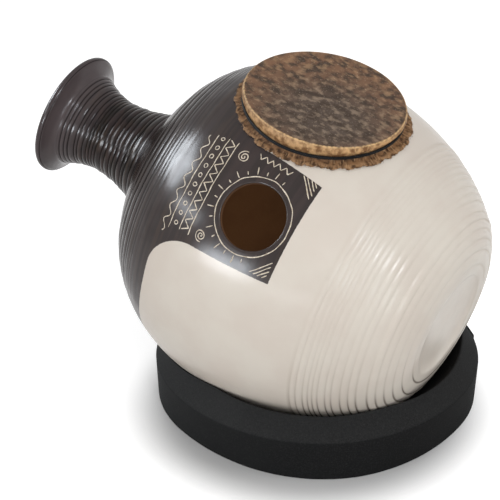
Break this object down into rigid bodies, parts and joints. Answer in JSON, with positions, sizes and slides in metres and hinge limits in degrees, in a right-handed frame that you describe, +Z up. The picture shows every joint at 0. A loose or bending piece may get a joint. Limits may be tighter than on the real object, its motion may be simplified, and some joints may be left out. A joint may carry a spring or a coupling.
{
  "type": "udu drum",
  "caption": "Wheel-thrown clay pot drum lying in a round foam stand, with a flared neck, a round side hole and a hide head tied over a collar on its belly.",
  "frame": {"origin": "on the floor, under the middle of the drum's bounding box", "axes": "+Z up, -X the way the pot's mouth points in plan, -Y the side with the round hole"},
  "size_m": [0.4044, 0.29, 0.3048],
  "materials": {
    "fired_clay": "satin",
    "hide": "satin",
    "black_cord": "satin",
    "black_foam": "matte"
  },
  "bodies": {
    "stand": {"foam_ring": "black_foam"},
    "drum": {"clay_vessel": "fired_clay", "drum_skin": "hide", "binding_cord": "black_cord"}
  },
  "joints": [
    {"name": "drum_lift", "type": "slide", "parent": "stand", "child": "drum", "axis": [0, 0, 1], "range_m": [0, 0.07]}
  ]
}
